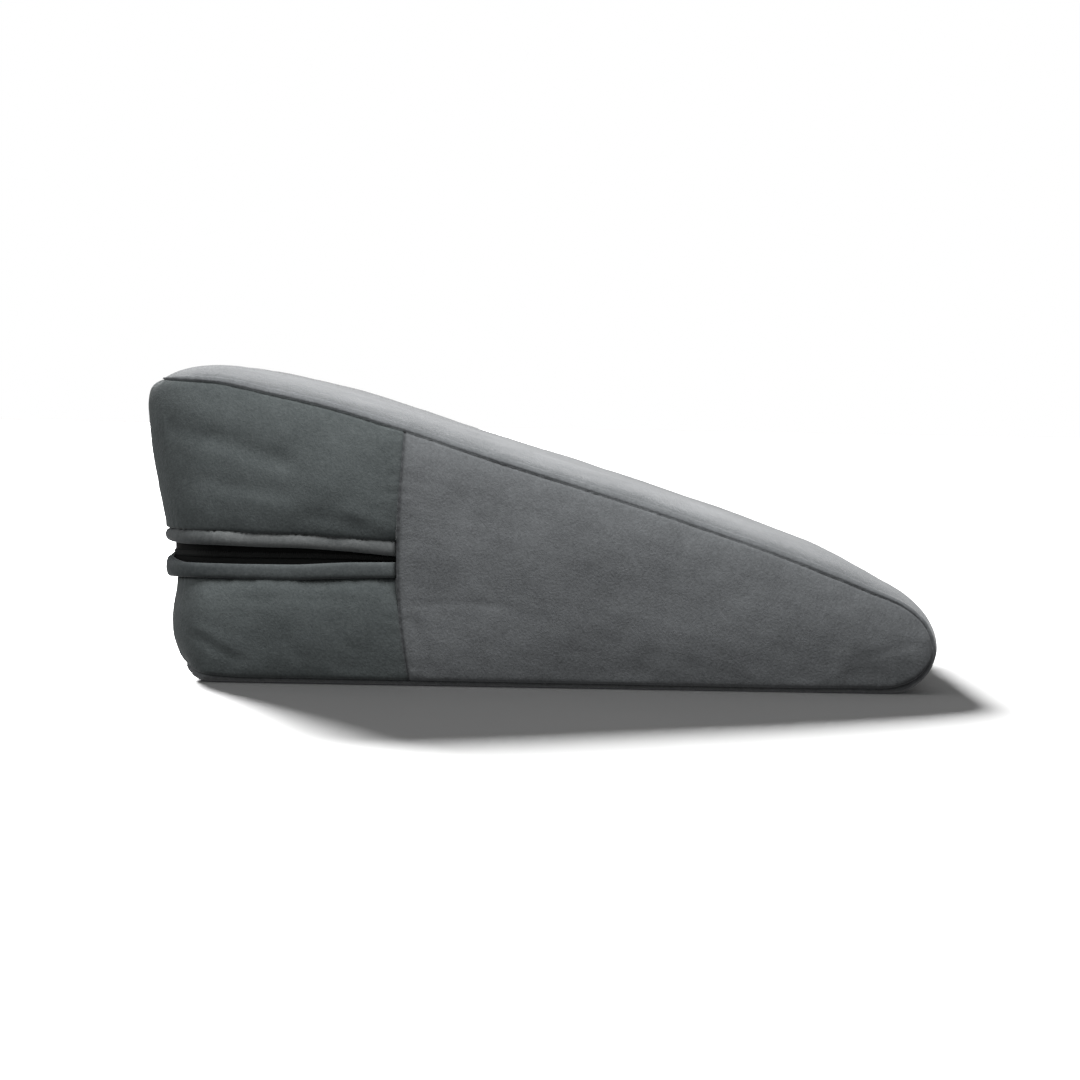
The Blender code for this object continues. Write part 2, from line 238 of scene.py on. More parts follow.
# Oval patches on the near side, partly brushed pile and partly painted shade and highlight: darker along
# creases,
# # above the welts and low on the wall, lighter high on the wall: x, z, half length, half height, tone
NEAR_PILE_TONE_AND_SHADE = (
    (-0.2650, 0.1930, 0.0350, 0.0080, -0.30),
    (-0.2200, 0.1780, 0.0300, 0.0080, -0.25),
    (-0.1900, 0.1350, 0.0700, 0.0140, -0.20),
    (-0.2350, 0.2150, 0.0550, 0.0100, 0.08),
    (-0.1500, 0.1900, 0.0300, 0.0200, 0.12),
    (-0.0500, 0.1350, 0.0500, 0.0250, 0.10),
    (0.1420, 0.1060, 0.0230, 0.0090, -0.20),
    (0.0200, 0.0900, 0.0500, 0.0220, -0.10),
    (0.1000, 0.0260, 0.1600, 0.0170, -0.28),
    (0.2600, 0.0500, 0.0600, 0.0300, -0.25),
    (0.2400, 0.0660, 0.0300, 0.0060, 0.10),
)

# Edge on the near side of the toe where the pile turns along its crease, with painted shade below it and a
# painted
# # highlight just above it: start x, z, end x, z, fade in along x, tone below the edge and tone just above
# it
TOE_CREASE_SHADE_EDGE = (0.2366, 0.0210, 0.2985, 0.0400, 0.030, -0.50, 0.22)

# Welts and zip
ZIP_SIDE_STATIONS = 180
ZIP_CORNER_STATIONS = 60
ZIP_REAR_STATIONS = 500
WELT_RING = 28
UPPER_SQUARENESS = 2.05
LOWER_SQUARENESS = 2.9
WELT_END_RUN = 0.0045
WELT_END_SHARE = 0.45
UPPER_CORNER_RISE = 0.0020
LOWER_CORNER_RISE = 0.0050
WELT_STITCH_PITCH = 0.0052
WELT_STITCH_DIP = 0.0015
COIL_PITCH = 0.00145
COIL_HALF_HEIGHT = 0.0027
COIL_PROUD = 0.0011
COIL_STATIONS = 3200
COIL_RING = 10

# Roughness of the pile: tone and roughness at the tone's low end, then at its high end
PILE_ROUGHNESS = ((-0.6, 0.95), (0.6, 0.80))

# Studio light
SKY_ABOVE = 0.22
SKY_BELOW = 0.36
SUN_FROM = (0.06, 0.90, 0.37)
SUN_STRENGTH = 3.6
SUN_ANGLE = math.radians(18.0)
LOW_SUN_FROM = (-0.22, 0.93, 0.26)
LOW_SUN_STRENGTH = 18.0
LOW_SUN_ANGLE = math.radians(13.0)
OVERHEAD_AT = (0.15, -0.72, 1.15)
OVERHEAD_SIZE = 0.6
OVERHEAD_POWER = 34.0
LEFT_FILL_AT = (-1.30, -0.85, 0.70)
LEFT_FILL_SIZE = 0.8
LEFT_FILL_POWER = 12.0


def smooth_step(share):
    share = np.clip(share, 0.0, 1.0)
    return share * share * (3.0 - 2.0 * share)


def mix(first, second, share):
    return first + (second - first) * share


def rounded(distance, run):
    """Quarter round: the square root of 1 - (1 - distance / run) squared, and 1 past the run."""
    left = 1.0 - np.clip(distance / run, 0.0, 1.0)
    return np.sqrt(1.0 - left * left)


def graded(start, end, count, marks):
    """count + 1 places from start to end, closer together near each mark.

    The density at a place is 1 plus gain times e to the -distance / reach for each mark, and the
    places share its integral evenly.
    """
    fine = np.linspace(start, end, 4001)
    density = np.ones_like(fine)
    for mark, reach, gain in marks:
        density += gain * np.exp(-np.abs(fine - mark) / reach)
    total = np.concatenate([[0.0], np.cumsum(0.5 * (density[1:] + density[:-1]))])
    return np.interp(np.linspace(0.0, total[-1], count + 1), total, fine)


def eased(length, ease):
    """The w whose w squared / (w + ease) is this length."""
    return 0.5 * (length + math.sqrt(length * length + 4.0 * length * ease))


def curve_through(table, steps=40):
    """Points of a cubic Hermite curve through the table's points, with even slopes at each."""
    points = np.array(table, dtype=float)
    lengths = np.sqrt(np.linalg.norm(np.diff(points, axis=0), axis=1))
    times = np.concatenate([[0.0], np.cumsum(lengths)])
    slopes = np.gradient(points, times, axis=0)
    fine = np.linspace(0.0, times[-1], steps * len(points))
    start = np.clip(np.searchsorted(times, fine, side="right") - 1, 0, len(points) - 2)
    span = (times[start + 1] - times[start])[:, None]
    t = (fine - times[start])[:, None] / span
    place = points[start] * (2.0 * t**3 - 3.0 * t**2 + 1.0)
    place += points[start + 1] * (3.0 * t**2 - 2.0 * t**3)
    place += slopes[start] * span * (t**3 - 2.0 * t**2 + t)
    place += slopes[start + 1] * span * (t**3 - t**2)
    return place


SEAM_CURVE = curve_through(TOP_SEAM + BASE_SEAM[-2::-1])
TIP_AT = int(np.argmax(SEAM_CURVE[:, 0]))
TOP_CURVE = SEAM_CURVE[: TIP_AT + 1]
BASE_CURVE = SEAM_CURVE[TIP_AT:][::-1]
REAR_CURVE = curve_through(REAR_PROFILE)
WELT_TABLE = np.array(WELT_EDGES)
TIP_X, TIP_Z = SEAM_CURVE[TIP_AT]
CORNER_X = REAR_X + CORNER_RADIUS
CORNER_REACH = SEAM_HALF_WIDTH - CORNER_RADIUS


def value_at(curve, place):
    return np.interp(place, curve[:, 0], curve[:, 1])


def welt_edges(x):
    """Heights of the upper welt's top and foot and of the lower welt's top and foot."""
    return [np.interp(x, WELT_TABLE[:, 0], edge) for edge in WELT_TABLE[:, 1:].T]


def panel_seam_bow(z):
    """How far the panel seam leans to the toe: its bend times the height from its middle, squared."""
    rise = z - PANEL_SEAM_HEIGHT
    return np.where(rise > 0.0, PANEL_SEAM_BEND_ABOVE, PANEL_SEAM_BEND_BELOW) * rise * rise


class WallLines:
    """Upright lines of the wall, one value for each line in every array.

    line_x is the x of the flat side, turn the angle round the rear corner, across the y on the
    tall end, and side is -1 on the near side and +1 on the far side.
    """

    def __init__(self, line_x, turn, across, side):
        self.line_x = line_x
        self.turn = turn
        self.across = across
        self.side = side
        self.rear_share = smooth_step(turn / (0.5 * math.pi))
        base_turn = CORNER_X - (CORNER_X - BASE_SEAM[0][0]) * np.sin(turn)
        top_turn = CORNER_X - (CORNER_X - TOP_SEAM[0][0]) * np.sin(turn)
        self.base = value_at(BASE_CURVE, np.where(turn > 0.0, base_turn, line_x))
        self.top = value_at(TOP_CURVE, np.where(turn > 0.0, top_turn, line_x))
        self.has_zip = line_x < ZIP_END_X + MESH_GAP

    def place(self, z, side_out, rear_out):
        """Points at heights z, that far out from the side line and from the rear line."""
        turn = self.turn[:, None]
        beside = np.abs(self.line_x - PANEL_SEAM_X) / PANEL_SEAM_FADE
        near = 1.0 - np.clip(beside, 0.0, 1.0)[:, None]
        on_side = self.line_x[:, None] + near * panel_seam_bow(z)
        round_corner = CORNER_X - (CORNER_RADIUS + rear_out) * np.sin(turn)
        x = np.where(turn == 0.0, on_side, round_corner)
        reach = CORNER_REACH + (CORNER_RADIUS + side_out) * np.cos(turn)
        on_rear = (self.turn > 0.5 * math.pi - 1e-6)[:, None]
        y = np.where(on_rear, self.across[:, None], self.side[:, None] * reach)
        return np.stack([x, y, z + np.zeros_like(x)], axis=-1)


def lines_from(side_x, turns, across):
    """Wall lines from the near toe or zip end, round the tall end, to the far one.

    side_x runs along the near side to the corner, turns round it, and across over the tall end;
    the far half repeats the near half in reverse.
    """
    half_x = np.concatenate([side_x, CORNER_X - CORNER_RADIUS * np.sin(turns)])
    half_turn = np.concatenate([np.zeros_like(side_x), turns])
    line_x = np.concatenate([half_x, np.full_like(across, REAR_X), half_x[::-1]])
    turn = np.concatenate([half_turn, np.full_like(across, 0.5 * math.pi), half_turn[::-1]])
    rest = np.zeros_like(half_x)
    side = np.concatenate([rest - 1.0, np.where(across < 0.0, -1.0, 1.0), rest + 1.0])
    return WallLines(line_x, turn, np.concatenate([rest, across, rest]), side)


def lift(distance):
    """Share of the side's fullness this far from a seam: a quick part and an exponential rise."""
    broad = 1.0 - np.exp(-distance / SIDE_BROAD_RUN)
    return SIDE_SHARP_SHARE + (1.0 - SIDE_SHARP_SHARE) * broad


def pinch(lines, z, outward, above, below):
    """The wall's distance out, drawn in to the welts by e to the -distance / run."""
    top, _, _, foot = welt_edges(lines.line_x[:, None])
    over = mix(outward, above, np.exp(-np.maximum(z - top, 0.0) / PINCH_RUN))
    under = mix(outward, below, np.exp(-np.maximum(foot - z, 0.0) / PINCH_RUN))
    drawn = np.where(z >= 0.5 * (top + foot), over, under)
    return np.where(lines.has_zip[:, None], drawn, outward)


def side_distance(lines, z):
    """How far the side stands out: its fullness times the lift from both seams, pinched."""
    below = np.maximum(z - lines.base[:, None], 0.0)
    above = np.maximum(lines.top[:, None] - z, 0.0)
    outward = SIDE_FULLNESS * lift(below) * lift(above) - SIDE_SET_IN
    return pinch(lines, z, outward, PINCH_ABOVE_SIDE, PINCH_BELOW_SIDE)


def rear_distance(lines, z):
    """How far the tall end stands out: its profile by height, pinched at the welts."""
    return pinch(lines, z, value_at(REAR_CURVE, z), PINCH_ABOVE_REAR, PINCH_BELOW_REAR)


def channel_heights(lines):
    """Heights of the lower and the upper edge of the zip's channel, carried on to the toe."""
    top, _, _, foot = welt_edges(lines.line_x)
    end_top, _, _, end_foot = welt_edges(PANEL_SEAM_X)
    end_base = value_at(BASE_CURVE, PANEL_SEAM_X)
    tall = value_at(TOP_CURVE, PANEL_SEAM_X) - end_base
    low = mix(lines.base, lines.top, (end_foot - end_base) / tall)
    high = mix(lines.base, lines.top, (end_top - end_base) / tall)
    low = np.where(lines.has_zip, foot - MESH_GAP, low)
    return low, np.where(lines.has_zip, top + MESH_GAP, high)


def wall_heights(lines):
    """Heights of the wall's rows: below the channel, on its floor, and above it."""
    low, high = (edge[:, None] for edge in channel_heights(lines))
    base = lines.base[:, None]
    top = lines.top[:, None]
    spread = np.where(lines.has_zip[:, None], 0.0, FRONT_ROW_SPREAD) * (high - low)
    edge_marks = ((0.0, 0.022, 7.0), (1.0, 0.030, 4.0))
    lower = mix(base, low, graded(0.0, 1.0, LOWER_ROWS - 1, edge_marks))
    floor = mix(low + spread, high - spread, np.linspace(0.0, 1.0, CHANNEL_ROWS))
    edge_marks = ((0.0, 0.020, 4.0), (1.0, 0.018, 7.0))
    upper = mix(high, top, graded(0.0, 1.0, UPPER_ROWS - 1, edge_marks))
    return np.concatenate([lower, floor, upper], axis=1)


def cover_lines():
    """The wall's lines, closer at the toe's tip, at the panel seams and near the rear corners."""
    run = eased(TIP_X - FRONT_END_X, TIP_EASE)
    seam = eased(TIP_X - PANEL_SEAM_X, TIP_EASE)
    w = graded(0.0, run, FRONT_LINES, ((seam, 0.005, 5.0), (0.0, 0.02, 1.5)))[1:]
    front = TIP_X - w * w / (w + TIP_EASE)
    marks = ((ZIP_END_X, 0.005, 4.0),)
    beside_zip = graded(ZIP_END_X, CORNER_X, ZIP_SIDE_LINES - 1, marks)
    turns = np.linspace(0.0, 0.5 * math.pi, CORNER_LINES + 2)[1:-1]
    return lines_from(np.concatenate([front, beside_zip]), turns, cross_shares() * CORNER_REACH)


def cross_shares():
    """Places across the band from -1 at the near seam to 1 at the far seam."""
    w = graded(0.0, eased(SEAM_HALF_WIDTH, CROSS_EASE), HALF_CROSS, ((0.0, 0.010, 4.5),))
    half = 1.0 - w * w / (w + CROSS_EASE) / SEAM_HALF_WIDTH
    return np.concatenate([-half[:-1], [0.0], half[:-1][::-1]])


def channel_floor(lines):
    """True at the wall's points that lie on the floor of the zip's channel."""
    row = np.arange(LOWER_ROWS + CHANNEL_ROWS + UPPER_ROWS)
    on_floor = (row >= LOWER_ROWS) & (row < LOWER_ROWS + CHANNEL_ROWS)
    return lines.has_zip[:, None] & on_floor[None, :]


def wall_surface(lines):
    """The wall's points, lines by rows: the side or the tall end, with the channel's floor."""
    z = wall_heights(lines)
    on_floor = channel_floor(lines)
    side_out = np.where(on_floor, FACE_LINE_SIDE - CHANNEL_DEPTH, side_distance(lines, z))
    rear_out = np.where(on_floor, FACE_LINE_REAR - CHANNEL_DEPTH, rear_distance(lines, z))
    return lines.place(z, side_out, rear_out)


def band_surface(edges, rear_top, rear_base, shares):
    """The band's points, lines by places across, from the top seam's edges over the toe.

    Over the top and the toe a point stands out along the outline's normal by the crown's
    fullness times a quarter round from the side seam and one from the rear seam. Under the base
    it settles on z = 0 by the same two quarter rounds.
    """
    outline = np.vstack([rear_top[:1], edges, rear_base[:1]])[:, [0, 2]]
    run = np.gradient(outline, axis=0)[1:-1]
    normal = np.column_stack([-run[:, 1], run[:, 0]])
    normal /= np.linalg.norm(normal, axis=1)[:, None]
    count = (len(edges) - 1) // 2
    underside = np.arange(len(edges)) > count
    x, y, z = edges[:, 0, None], edges[:, 1, None], edges[:, 2, None]
    step = np.abs(y) * (1.0 - np.abs(shares))
    rear_x = np.where(underside, rear_base[0, 0], rear_top[0, 0])[:, None]
    fullness = mix(TOE_FULLNESS, CROWN, smooth_step((TIP_X - x) / TOE_RUN))
    swell = fullness * rounded(step, CROWN_RUN) * rounded(x - rear_x, CROWN_RUN_REAR)
    settled = rounded(step, BASE_EDGE_RUN) * rounded(x - rear_x, BASE_REAR_RUN)
    on_base = 1.0 - smooth_step((x - TOE_SETTLE_X) / TOE_SETTLE_RUN)
    on_base = np.where(underside[:, None], on_base, 0.0)
    out_x = x + normal[:, :1] * swell
    out_z = np.maximum(z + normal[:, 1:] * swell, 0.0)
    return np.stack(
        [
            mix(out_x, x, on_base),
            np.abs(y) * shares + np.zeros_like(out_x),
            mix(out_z, z * (1.0 - settled), on_base),
        ],
        axis=-1,
    )


def arc_along(points, axis):
    """Distance run along an axis of a grid of points, from its first line."""
    steps = np.linalg.norm(np.diff(points, axis=axis), axis=-1)
    start = np.zeros_like(np.take(steps, [0], axis=axis))
    return np.concatenate([start, np.cumsum(steps, axis=axis)], axis=axis)


def waves(points, wavelength, height, seed):
    """Sum of twelve sines in seeded directions, each of about the given wavelength."""
    chance = np.random.default_rng(seed)
    way = chance.normal(size=(12, 3))
    way /= np.linalg.norm(way, axis=1)[:, None]
    length = wavelength * chance.uniform(0.7, 1.4, 12)
    phase = chance.uniform(0.0, 2.0 * math.pi, 12)
    turns = points @ (way / length[:, None]).T * 2.0 * math.pi + phase
    return height * np.sin(turns).sum(axis=-1) / math.sqrt(6.0)


def puckers(along, distance, pitch, height, reach):
    """Gathers beside a seam: a sine along it with a wandering phase and an uneven height.

    They start at the seam, are highest a little way off and fade by e to the -distance / reach.
    """
    wander = 1.7 * np.sin(2.0 * math.pi * along / (6.3 * pitch))
    uneven = 0.6 + 0.4 * np.sin(2.0 * math.pi * along / (4.7 * pitch) + 1.0)
    away = np.exp(-distance / reach) * (1.0 - np.exp(-distance / (0.25 * reach)))
    return height * uneven * np.sin(2.0 * math.pi * along / pitch + wander) * away


def crease(first, second, row):
    """Relief of one crease on a face with the coordinates first and second.

    Its height falls off from its line by a bell curve, its line bows by its sag, and it fades
    towards both ends.
    """
    start_first, start_second, end_first, end_second, sag, half_width, height = row
    run = np.array([end_first - start_first, end_second - start_second])
    length = np.linalg.norm(run)
    along = ((first - start_first) * run[0] + (second - start_second) * run[1]) / length**2
    off = ((second - start_second) * run[0] - (first - start_first) * run[1]) / length
    off = off - 4.0 * sag * along * (1.0 - along)
    fade = smooth_step((along + 0.12) / 0.3) * smooth_step((1.12 - along) / 0.3)
    return CREASE_SCALE * height * fade * np.exp(-((off / half_width) ** 2))


def creases(first, second, table):
    return sum(crease(first, second, row) for row in table)


def groove(distance, depth, lip):
    """A sewn groove: two rounded lips that meet at the seam's line."""
    return -depth * (1.0 - rounded(distance, lip))


class CoverGrid:
    """The cover's points as one list: the two tips, the wall's lines, the band's inner points."""

    def __init__(self):
        self.lines = cover_lines()
        shares = cross_shares()
        self.half = FRONT_LINES + ZIP_SIDE_LINES + CORNER_LINES
        self.across = len(shares)
        self.wall = wall_surface(self.lines)
        lines, rows = self.wall.shape[:2]
        tip_reach = SEAM_HALF_WIDTH + SIDE_FULLNESS * SIDE_SHARP_SHARE**2 - SIDE_SET_IN
        self.tips = np.array([[TIP_X, -tip_reach, TIP_Z], [TIP_X, tip_reach, TIP_Z]])
        near = self.wall[: self.half]
        edges = np.vstack([near[::-1, -1], self.tips[:1], near[:, 0]])
        rear = self.wall[self.half : self.half + self.across]
        inner = band_surface(edges, rear[:, -1], rear[:, 0], shares)
        self.band = np.concatenate([rear[None, :, -1], inner, rear[None, :, 0]])
        self.wall_index = 2 + np.arange(lines * rows).reshape(lines, rows)
        inner_count = (2 * self.half + 1) * (self.across - 2)
        inner_index = 2 + lines * rows + np.arange(inner_count)
        self.band_index = self.number_band(inner_index.reshape(-1, self.across - 2))

    def number_band(self, inner):
        """Vertex numbers of the band's lines, whose ends and outer lines are the wall's edges."""
        near = self.wall_index[: self.half]
        far = self.wall_index[-self.half :]
        rear = self.wall_index[self.half : self.half + self.across]
        near_edge = np.concatenate([near[::-1, -1], [0], near[:, 0]])
        far_edge = np.concatenate([far[:, -1], [1], far[::-1, 0]])
        middle = np.column_stack([near_edge, inner, far_edge])
        return np.vstack([rear[:, -1], middle, rear[:, 0]])

    def gather(self, on_tips, on_wall, on_band):
        """One array over all vertices from the values on the tips, the wall and the band."""
        inner = on_band[1:-1, 1:-1]
        flat = (-1,) + inner.shape[2:]
        return np.concatenate([on_tips, on_wall.reshape(flat), inner.reshape(flat)])

    def points(self):
        return self.gather(self.tips, self.wall, self.band)

    def faces(self):
        """Quads of the wall and the band, and the triangles that close the wall at both tips."""
        wall = quads(self.wall_index)
        band = quads(self.band_index.T)
        first = self.wall_index[0]
        last = self.wall_index[-1]
        near = np.column_stack([np.zeros_like(first[1:]), first[1:], first[:-1]])
        far = np.column_stack([last[:-1], last[1:], np.ones_like(last[1:])])
        return wall.tolist() + band.tolist() + near.tolist() + far.tolist()

    def seam_distance(self):
        """Distance of each wall and band point from the nearest seam between wall and band."""
        up = arc_along(self.wall, 1)
        wall = np.minimum(up, up[:, -1:] - up)
        over = arc_along(self.band, 1)
        side = np.minimum(over, over[:, -1:] - over)
        down = arc_along(self.band, 0)
        rear = np.minimum(down, down[-1:] - down)
        return wall, side, rear


def quads(index):
    """Faces of a grid of vertex numbers, wound from its first line up its rows."""
    corners = [index[:-1, :-1], index[:-1, 1:], index[1:, 1:], index[1:, :-1]]
    return np.stack(corners, axis=-1).reshape(-1, 4)


def wall_relief(grid, distance):
    """Relief of the wall: seam grooves, puckers beside them, and the creases of each face."""
    lines = grid.lines
    x, y, z = (grid.wall[..., k] for k in range(3))
    beside = np.abs(lines.line_x - PANEL_SEAM_X)[:, None] + np.zeros_like(z)
    upper = z > 0.5 * (lines.top + lines.base)[:, None]
    side_depth = np.where(upper, SEAM_GROOVE, BASE_SEAM_GROOVE)
    groove_depth = mix(side_depth, REAR_SEAM_GROOVE, lines.rear_share[:, None])
    relief = groove(distance, groove_depth, SEAM_LIP)
    relief += groove(beside, PANEL_GROOVE, PANEL_LIP)
    up = arc_along(grid.wall, 1)
    swell = 1.0 - np.exp(-(up[:, -1:] - up) / WALL_SWELL_RUN)
    swell *= 1.0 - np.exp(-up / WALL_SWELL_BASE_RUN)
    relief += WALL_SWELL * (1.0 - lines.rear_share)[:, None] * swell
    low, high = (edge[:, None] for edge in channel_heights(lines))
    from_welt = np.where(z < 0.5 * (low + high), low - z, z - high)
    at_welt = lines.has_zip[:, None] & (from_welt >= -1e-6)
    relief += np.where(at_welt, groove(from_welt, WELT_GROOVE, WELT_LIP), 0.0)
    top_run = arc_along(grid.wall[:, -1], 0)[:, None]
    base_run = arc_along(grid.wall[:, 0], 0)[:, None]
    along = np.where(upper, top_run, base_run)
    relief += puckers(along, distance, PUCKER_PITCH, PUCKER, PUCKER_REACH)
    relief += puckers(z, beside, 1.05 * PUCKER_PITCH, 0.9 * PUCKER, PUCKER_REACH)
    beside_welt = puckers(top_run, np.maximum(from_welt, 0.0), WELT_STITCH_PITCH, PUCKER, 0.006)
    relief += np.where(at_welt, beside_welt, 0.0)
    on_rear = lines.rear_share[:, None] > 0.5
    near = (y < 0.0) & ~on_rear
    far = (y > 0.0) & ~on_rear
    relief += np.where(near, creases(x, z, NEAR_CREASES), 0.0)
    relief += np.where(far, creases(x, z, FAR_CREASES), 0.0)
    relief += np.where(on_rear, creases(y, z, REAR_CREASES), 0.0)
    return np.where(channel_floor(lines), 0.0, relief)


def band_relief(grid, side, rear):
    """Relief of the band: seam grooves, puckers beside them, and the creases of the top."""
    on_top = np.arange(len(side))[:, None] <= grid.half
    depth = np.where(on_top, SEAM_GROOVE, BASE_SEAM_GROOVE)
    relief = np.minimum(groove(side, depth, SEAM_LIP), groove(rear, REAR_SEAM_GROOVE, SEAM_LIP))
    along = arc_along(grid.band[:, 0], 0)[:, None]
    relief += puckers(along, side, PUCKER_PITCH, PUCKER, PUCKER_REACH)
    relief += puckers(grid.band[..., 1], rear, PUCKER_PITCH, PUCKER, PUCKER_REACH)
    step = smooth_step((ALLOWANCE_WIDTH - side) / ALLOWANCE_FADE)
    relief += ALLOWANCE * step * smooth_step(side / ALLOWANCE_FADE)
    top = creases(grid.band[..., 0], grid.band[..., 1], TOP_CREASES)
    return relief + np.where(on_top, top, 0.0)


def pile_tone_and_painted_shade(points, on_near_side):
    """Tone of the cloth: seeded clouds of brushed pile, and the near side's oval patches and toe edge,
    partly brushed pile and partly painted shade and highlight.
    """
    nap_and_shade = waves(points, 0.14, 0.06, 41) + waves(points, 0.035, 0.05, 42)
    x, z = points[:, 0], points[:, 2]
    for middle_x, middle_z, half_length, half_height, tone in NEAR_PILE_TONE_AND_SHADE:
        oval = ((x - middle_x) / half_length) ** 2 + ((z - middle_z) / half_height) ** 2
        nap_and_shade += np.where(on_near_side, tone * np.exp(-oval), 0.0)
    start_x, start_z, end_x, end_z, fade_in, below, above = TOE_CREASE_SHADE_EDGE
    along = (x - start_x) / (end_x - start_x)
    over = z - mix(start_z, end_z, along) - 0.0025 * np.sin(7.0 * along)
    # Painted shade below the toe's crease and a painted highlight just above it
    turned = below * smooth_step(0.5 - over / 0.005) + above * np.exp(-((over - 0.007) / 0.006) ** 2)
    return nap_and_shade + np.where(on_near_side, turned * smooth_step((x - start_x + fade_in) / fade_in), 0.0)


def put_attribute(mesh, name, values):
    layer = mesh.attributes.new(name, "FLOAT", "POINT")
    layer.data.foreach_set("value", np.ascontiguousarray(values, dtype=np.float32))


def mesh_object(name, points, faces):
    """A smooth-shaded mesh object at the origin from its points and faces."""
    mesh = bpy.data.meshes.new(name)
    mesh.from_pydata(points.tolist(), [], faces)
    mesh.validate()
    mesh.shade_smooth()
    made = bpy.data.objects.new(name, mesh)
    bpy.context.scene.collection.objects.link(made)
    return made


def vertex_normals(mesh):
    normals = np.empty(len(mesh.vertices) * 3)
    mesh.vertices.foreach_get("normal", normals)
    return normals.reshape(-1, 3)


def build_cover():
    """The sewn cover: the cushion's surface, moved along its normals by the cloth's relief."""
    grid = CoverGrid()
    points = grid.points()
    cover = mesh_object("velour_cover", points, grid.faces())
    wall_distance, side_distance_band, rear_distance_band = grid.seam_distance()
    none = np.zeros(2)
    sewn = grid.gather(
        none - SEAM_GROOVE,
        wall_relief(grid, wall_distance),
        band_relief(grid, side_distance_band, rear_distance_band),
    )
    loose = sum(
        waves(points, wavelength, height, 11 + k)
        for k, (wavelength, height) in enumerate(UNEVENNESS)
    )
    share = smooth_step((points[:, 2] - 0.001) / 0.015)
    on_wall = np.where(channel_floor(grid.lines), 0.0, 1.0)
    share *= grid.gather(none + 1.0, on_wall, np.full(grid.band.shape[:2], BAND_UNEVENNESS))
    relief = np.clip(sewn + loose * share, -RELIEF_LIMIT, RELIEF_LIMIT)
    moved = points + vertex_normals(cover.data) * relief[:, None]
    moved[:, 2] = np.maximum(moved[:, 2], 0.0)
    cover.data.vertices.foreach_set("co", moved.ravel())
    band_distance = np.minimum(side_distance_band, rear_distance_band)
    beside = np.abs(grid.lines.line_x - PANEL_SEAM_X)[:, None] + np.zeros_like(wall_distance)
    distance = grid.gather(none, wall_distance, band_distance)
    flat_band = np.zeros(grid.band.shape[:2])
    beside = grid.gather(none + 1.0, beside, flat_band + 1.0)
    behind = np.broadcast_to(grid.lines.has_zip[:, None] * 1.0, grid.wall.shape[:2])
    rear = grid.gather(none, behind, flat_band)
    on_wall = grid.gather(none, np.ones(grid.wall.shape[:2]), flat_band)
    # Painted shade: masks of the seams' grooves, where the velour is darkened
    put_attribute(cover.data, "seam", np.exp(-distance / 0.0016))
    put_attribute(cover.data, "panel_seam_shade", np.exp(-beside / 0.0014))
    put_attribute(cover.data, "rear_panel", rear)
    # Pile tone with painted shade and highlight on the near side, read by the velour
    put_attribute(cover.data, "nap_and_shade", pile_tone_and_painted_shade(points, (on_wall > 0.5) & (points[:, 1] < 0.0)))
    cover.data.update()
    return cover


def zip_lines(side_count, corner_count, rear_count):
    """Lines along the zip, evenly spaced, from the near panel seam to the far one."""
    side_x = np.linspace(ZIP_END_X - MESH_GAP, CORNER_X, side_count)
    turns = np.linspace(0.0, 0.5 * math.pi, corner_count + 2)[1:-1]
    return lines_from(side_x, turns, np.linspace(-CORNER_REACH, CORNER_REACH, rear_count))


def strip_object(name, lines, depth, z):
    """Closed strip along the zip: at each line a ring of depths out from the face line and heights."""
    points = lines.place(z, FACE_LINE_SIDE + depth, FACE_LINE_REAR + depth)
    stations, ring = z.shape
    index = np.arange(stations * ring).reshape(stations, ring)
    looped = np.column_stack([index, index[:, :1]])
    ends = [index[0, ::-1].tolist(), index[-1].tolist()]
    return mesh_object(name, points.reshape(-1, 3), quads(looped).tolist() + ends)


def ring_turns(count):
    return np.linspace(0.0, 2.0 * math.pi, count, endpoint=False)[None, :]


def superellipse(turn, half_depth, half_height, squareness):
    """Ring whose depth and height are signed cosine and sine to the power 2 / squareness."""
    power = 2.0 / squareness
    depth = half_depth * np.sign(np.cos(turn)) * np.abs(np.cos(turn)) ** power
    height = half_height * np.sign(np.sin(turn)) * np.abs(np.sin(turn)) ** power
    return depth, height


def welt_run(lines):
    """Distance along the zip at each of its lines, on the face line."""
    points = lines.place(np.full((len(lines.line_x), 1), 0.1), FACE_LINE_SIDE, FACE_LINE_REAR)
    return arc_along(points[:, 0], 0)[:, None]


